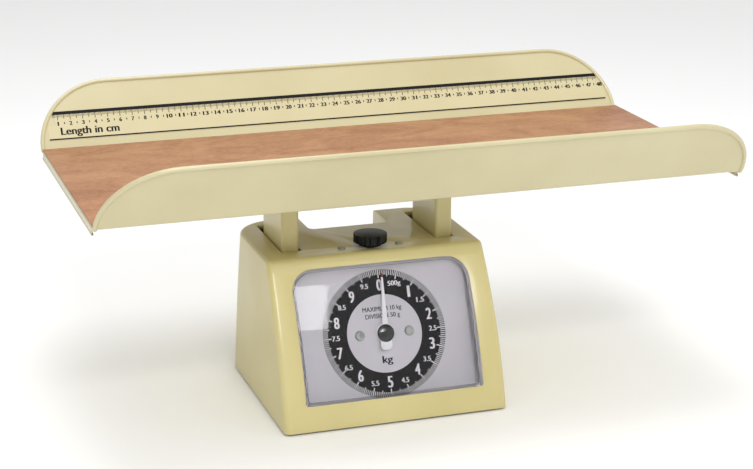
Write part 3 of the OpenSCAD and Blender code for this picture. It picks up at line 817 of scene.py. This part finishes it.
def between(tree, value, low, high, out_low=0.0, out_high=1.0):
    node = tree.nodes.new("ShaderNodeMapRange")
    for label, v in (("From Min", low), ("From Max", high), ("To Min", out_low), ("To Max", out_high)):
        if isinstance(v, (int, float)):
            node.inputs[label].default_value = v
        else:
            tree.links.new(v, node.inputs[label])
    tree.links.new(value, node.inputs["Value"])
    return node.outputs["Result"]


def mix(tree, factor, a, b):
    node = tree.nodes.new("ShaderNodeMix")
    node.data_type = "RGBA"
    for socket, value in ((node.inputs[0], factor), (node.inputs[6], a), (node.inputs[7], b)):
        if hasattr(value, "is_output"):
            tree.links.new(value, socket)
        else:
            socket.default_value = value
    return node.outputs[2]


print("node tools ready")

# %% [markdown]
# ### The shared effects
# Three effects are used by several finishes: a moulded or sprayed skin with a faint mottle and an
# orange-peel surface, a film of dust that settles on what faces up, and the grain of drawn or
# turned metal.

# %% Group: sprayed or moulded skin
skin, start, end = new_group(
    "Sprayed skin",
    [("Vector", "v", None), ("Colour", "c", (0.8, 0.8, 0.8, 1)), ("Shade", "c", (0.7, 0.7, 0.7, 1)),
     ("Patches", "f", 14.0), ("Peel", "f", 700.0), ("Gloss", "f", 0.35)],
    [("Colour", "c"), ("Roughness", "f"), ("Height", "f")])
patches = noise(skin, start.outputs["Vector"], start.outputs["Patches"], 4.0)
peel = noise(skin, start.outputs["Vector"], start.outputs["Peel"], 2.0)
specks = noise(skin, start.outputs["Vector"], 2600.0, 1.0)
soft_patch = between(skin, patches, 0.35, 0.7)
toned = mix(skin, soft_patch, start.outputs["Colour"], start.outputs["Shade"])
fleck = maths(skin, "MULTIPLY", between(skin, specks, 0.66, 0.8), 0.25)
skin.links.new(mix(skin, fleck, toned, start.outputs["Shade"]), end.inputs["Colour"])
scuffed = maths(skin, "ADD", start.outputs["Gloss"], maths(skin, "MULTIPLY", patches, 0.14))
skin.links.new(scuffed, end.inputs["Roughness"])
skin.links.new(maths(skin, "ADD", peel, maths(skin, "MULTIPLY", patches, 0.6)), end.inputs["Height"])
print("group:", skin.name)

# %% Group: settled dust
dust, start, end = new_group(
    "Settled dust", [("Vector", "v", None), ("Amount", "f", 0.2)], [("Mask", "f")])
shape = dust.nodes.new("ShaderNodeNewGeometry")
split = dust.nodes.new("ShaderNodeSeparateXYZ")
dust.links.new(shape.outputs["Normal"], split.inputs[0])
upward = between(dust, split.outputs["Z"], 0.3, 1.0)
drift = between(dust, noise(dust, start.outputs["Vector"], 38.0, 5.0, 0.65), 0.35, 0.75)
dust.links.new(maths(dust, "MULTIPLY", maths(dust, "MULTIPLY", upward, drift),
                     start.outputs["Amount"], True), end.inputs["Mask"])
print("group:", dust.name)

# %% Group: metal grain
grain, start, end = new_group(
    "Metal grain",
    [("Vector", "v", None), ("Bright", "c", (0.6, 0.6, 0.6, 1)), ("Dull", "c", (0.35, 0.35, 0.35, 1)),
     ("Roughness", "f", 0.35)],
    [("Colour", "c"), ("Roughness", "f"), ("Height", "f")])
stretch = grain.nodes.new("ShaderNodeMapping")
stretch.inputs["Scale"].default_value = (120, 2400, 1600)
grain.links.new(start.outputs["Vector"], stretch.inputs["Vector"])
drawn = noise(grain, stretch.outputs["Vector"], 1.0, 2.0)
tarnish = noise(grain, start.outputs["Vector"], 160.0, 5.0, 0.6)
grain.links.new(mix(grain, between(grain, tarnish, 0.42, 0.72), start.outputs["Bright"],
                    start.outputs["Dull"]), end.inputs["Colour"])
grain.links.new(maths(grain, "ADD", start.outputs["Roughness"],
                      maths(grain, "MULTIPLY", maths(grain, "ADD", drawn, tarnish), 0.12)),
                end.inputs["Roughness"])
grain.links.new(drawn, end.inputs["Height"])
print("group:", grain.name)


# %% [markdown]
# ### Making a finish
# A small helper makes the material, its Object coordinates and the groups it needs. Constant values
# are set on the shader's own sockets.

# %% Finish helper
def start_finish(name):
    material = bpy.data.materials.new(name)
    material.use_nodes = True
    tree = material.node_tree
    shader = tree.nodes["Principled BSDF"]
    where = tree.nodes.new("ShaderNodeTexCoord").outputs["Object"]
    return material, tree, shader, where


def use_group(tree, group, where, **values):
    node = tree.nodes.new("ShaderNodeGroup")
    node.node_tree = group
    tree.links.new(where, node.inputs["Vector"])
    for label, value in values.items():
        node.inputs[label].default_value = value
    return node


def bump(tree, shader, height, strength, distance):
    node = tree.nodes.new("ShaderNodeBump")
    node.inputs["Strength"].default_value = strength
    node.inputs["Distance"].default_value = distance
    tree.links.new(height, node.inputs["Height"])
    tree.links.new(node.outputs["Normal"], shader.inputs["Normal"])


def sprayed(name, colour, shade, patches=14.0, peel=700.0, gloss=0.3, dusty=0.15, coat=0.0,
            depth=0.00004, shine=0.5):
    """Paint or moulded plastic: the skin group with dust over it."""
    material, tree, shader, where = start_finish(name)
    surface = use_group(tree, skin, where, Colour=colour, Shade=shade, Patches=patches, Peel=peel,
                        Gloss=gloss)
    film = use_group(tree, dust, where, Amount=dusty)
    covered = mix(tree, film.outputs["Mask"], surface.outputs["Colour"], paint(178, 170, 150))
    tree.links.new(covered, shader.inputs["Base Color"])
    tree.links.new(maths(tree, "ADD", surface.outputs["Roughness"],
                         maths(tree, "MULTIPLY", film.outputs["Mask"], 0.5), True),
                   shader.inputs["Roughness"])
    bump(tree, shader, surface.outputs["Height"], 0.5, depth)
    shader.inputs["Specular IOR Level"].default_value = shine
    shader.inputs["Coat Weight"].default_value = coat
    shader.inputs["Coat Roughness"].default_value = 0.12
    return material


def metal(name, bright, dull, rough=0.32):
    material, tree, shader, where = start_finish(name)
    surface = use_group(tree, grain, where, Bright=bright, Dull=dull, Roughness=rough)
    tree.links.new(surface.outputs["Colour"], shader.inputs["Base Color"])
    tree.links.new(surface.outputs["Roughness"], shader.inputs["Roughness"])
    shader.inputs["Metallic"].default_value = 1.0
    bump(tree, shader, surface.outputs["Height"], 0.25, 0.00002)
    return material


print("finish helpers ready")

# %% [markdown]
# ### The finishes of this scale
# The casing is glossy cream plastic, a little yellower than the enamel of the tray. The dial is
# white paint with a cool tint. Printing is slightly uneven ink. The knob and the cap are black
# plastic, the feet are rubber, and the works are plated steel and brass.

# %% Cream casing, enamelled tray, dial paint, inks and blacks
cream = sprayed("Cream casing", paint(199, 188, 133), paint(191, 178, 121), 10, 520, 0.30, 0.10, 0.25)
enamel = sprayed("Tray enamel", paint(198, 190, 152), paint(188, 178, 138), 8, 380, 0.24, 0.05, 0.35)
dial_white = sprayed("Dial paint", paint(206, 201, 209), paint(198, 193, 201), 22, 900, 0.38, 0.0)
strip_cream = sprayed("Rule strip", paint(200, 191, 153), paint(193, 183, 142), 12, 800, 0.35, 0.04)
black_ink = sprayed("Black ink", paint(16, 15, 16), paint(24, 22, 23), 60, 1500, 0.5, 0.0, shine=0.15)
white_ink = sprayed("White ink", paint(226, 222, 228), paint(212, 207, 214), 60, 1500, 0.4, 0.0)
needle_white = sprayed("Pointer white", paint(234, 231, 236), paint(224, 221, 226), 40, 1200, 0.3, 0.0)
tip_red = sprayed("Tip red", paint(132, 30, 32), paint(112, 24, 28), 60, 1200, 0.35, 0.0)
knob_black = sprayed("Knob plastic", paint(9, 8, 8), paint(14, 13, 13), 60, 1400, 0.32, 0.01,
                     shine=0.2)
cap_black = sprayed("Cap plastic", paint(14, 13, 14), paint(20, 19, 20), 80, 1600, 0.1, 0.0, 0.4)
rubber = sprayed("Foot rubber", paint(36, 35, 34), paint(52, 50, 48), 90, 1800, 0.62, 0.3)
steel = metal("Plated steel", paint(178, 180, 176), paint(132, 134, 130))
brass = metal("Turned brass", paint(196, 164, 98), paint(142, 114, 62))
print("plain finishes:", len(bpy.data.materials))

# %% [markdown]
# ### The mat's marbled leathercloth
# The mat is brown leathercloth with tan streaks that run along the tray and a fine embossed grain.
# Two stretched noises make the marbling, and a Voronoi pattern gives the grain its pebbles.

# %% Marbled leathercloth
mat_cloth, tree, shader, where = start_finish("Marbled leathercloth")
along = tree.nodes.new("ShaderNodeMapping")
along.inputs["Scale"].default_value = (17, 34, 30)
along.inputs["Rotation"].default_value = (0, 0, math.radians(16))
tree.links.new(where, along.inputs["Vector"])
swirl = tree.nodes.new("ShaderNodeTexNoise")
swirl.inputs["Scale"].default_value = 1.0
swirl.inputs["Detail"].default_value = 7.0
swirl.inputs["Roughness"].default_value = 0.62
swirl.inputs["Distortion"].default_value = 1.2
tree.links.new(along.outputs["Vector"], swirl.inputs["Vector"])
marble = between(tree, swirl.outputs["Fac"], 0.36, 0.66)
threads = between(tree, noise(tree, along.outputs["Vector"], 11.0, 6.0, 0.75), 0.35, 0.7)
ground = mix(tree, marble, paint(172, 121, 82), paint(130, 78, 48))
streaked = mix(tree, maths(tree, "MULTIPLY", threads, 0.6), ground, paint(198, 152, 110))
pebble = tree.nodes.new("ShaderNodeTexVoronoi")
pebble.inputs["Scale"].default_value = 900
tree.links.new(where, pebble.inputs["Vector"])
pits = between(tree, pebble.outputs["Distance"], 0.2, 0.7)
tree.links.new(mix(tree, maths(tree, "MULTIPLY", pits, 0.3), streaked, paint(140, 90, 60)),
               shader.inputs["Base Color"])
tree.links.new(between(tree, swirl.outputs["Fac"], 0.3, 0.7, 0.42, 0.58), shader.inputs["Roughness"])
bump(tree, shader, maths(tree, "SUBTRACT", 1.0, pits), 0.35, 0.00012)
print("leathercloth ready")

# %% [markdown]
# ### The window's clear plastic
# Clear plastic lets light through and bends it a little. It is kept plain: full transmission, a low
# roughness and a low index, so it bends the dial behind it only a little.

# %% Clear plastic
clear_plastic, tree, shader, where = start_finish("Clear acrylic")
shader.inputs["Base Color"].default_value = (0.97, 0.975, 0.98, 1)
shader.inputs["Transmission Weight"].default_value = 1.0
shader.inputs["IOR"].default_value = 1.25
hair = noise(tree, where, 240.0, 6.0, 0.7)
tree.links.new(between(tree, hair, 0.4, 0.8, 0.02, 0.06), shader.inputs["Roughness"])
print("clear plastic ready")


# %% Give each piece its finish
def dress(piece, material):
    piece.data.materials.clear()
    piece.data.materials.append(material)


for piece, material in (
        (tray, enamel), (mat, mat_cloth), (casing, cream), (lens, clear_plastic),
        (black_ring, black_ink), (ticks, white_ink), (figures, white_ink), (words, black_ink),
        (heads, steel), (needle, needle_white), (tip, tip_red), (washer, needle_white),
        (cap, cap_black), (knob, knob_black), (strip, strip_cream), (heavy, black_ink),
        (marks, black_ink), (numbers, black_ink)):
    dress(piece, material)
node_finish = {"dial_plate": dial_white, "post_left": cream, "post_right": cream, "feet": rubber,
               "shaft_bush": brass, "link_rivets": brass, "rack": brass, "pinion_shaft": brass,
               "upper_clips": cap_black, "lower_clips": cap_black}
for node_name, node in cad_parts.items():
    if node_name not in replaced:
        finish = node_finish.get(node_name, steel)
        for slot in node.material_slots:
            slot.material = finish
        if not node.material_slots:
            node.data.materials.append(finish)
print("every piece has its finish")

# %% [markdown]
# ## Floor, light and camera
# The floor is plain and pale. A large soft key light stands high in front and a little to the left,
# so its reflection stays above most of the window. A weaker one fills the right side, and a broad
# one overhead lifts the tray. The camera looks a little down and from the left, with a long lens.

# %% Floor
clear()
bpy.ops.mesh.primitive_plane_add(size=12, location=(0, 0, 0))
floor = bpy.context.object
floor.name = "floor"
floor_paint, tree, shader, where = start_finish("Pale floor")
tree.links.new(mix(tree, noise(tree, where, 3.0), (0.93, 0.93, 0.93, 1), (0.96, 0.96, 0.955, 1)),
               shader.inputs["Base Color"])
shader.inputs["Roughness"].default_value = 0.9
dress(floor, floor_paint)


# %% Lights
def area_light(name, spot, aim, size, watts):
    data = bpy.data.lights.new(name, "AREA")
    data.shape = "RECTANGLE"
    data.size, data.size_y = size
    data.energy = watts
    lamp = bpy.data.objects.new(name, data)
    bpy.context.collection.objects.link(lamp)
    lamp.location = spot
    lamp.rotation_euler = (Vector(aim) - Vector(spot)).to_track_quat("-Z", "Y").to_euler()


area_light("key", (-0.25, -1.85, 1.6), (0, 0, 0.1), (0.9, 0.7), 24)
area_light("fill", (1.8, -0.6, 0.7), (0, 0, 0.12), (1.2, 1.2), 3)
area_light("over", (-0.05, 0.1, 1.5), (0, 0, 0.1), (0.8, 0.8), 9)
world = bpy.data.worlds.new("studio")
bpy.context.scene.world = world
world.use_nodes = True
sky = world.node_tree.nodes["Background"]
sky.inputs["Color"].default_value = (1, 1, 1, 1)
sky.inputs["Strength"].default_value = 0.72

# %% Camera
CAMERA_AT = (-0.453661, -1.344377, 0.553339)
azimuth, elevation, roll = (math.radians(v) for v in (-18.382, 17.088, 0.078))
back = Vector((math.sin(azimuth) * math.cos(elevation), -math.cos(azimuth) * math.cos(elevation),
               math.sin(elevation)))
right = Vector((0, 0, 1)).cross(back).normalized()
up = back.cross(right)
right, up = (right * math.cos(roll) + up * math.sin(roll), up * math.cos(roll) - right * math.sin(roll))
camera_data = bpy.data.cameras.new("camera")
camera_data.lens = 90.54
camera_data.sensor_width = 36
camera = bpy.data.objects.new("camera", camera_data)
bpy.context.collection.objects.link(camera)
camera.matrix_world = Matrix([(right[k], up[k], back[k], CAMERA_AT[k]) for k in range(3)]
                             + [(0, 0, 0, 1)])
bpy.context.scene.camera = camera
bpy.context.scene.view_settings.view_transform = "Standard"
print("camera set")

# %% [markdown]
# ## Last step
# The view layer is brought up to date. The visual model must stay inside the CAD
# model's box.

# %% Update the view layer
bpy.context.view_layer.update()
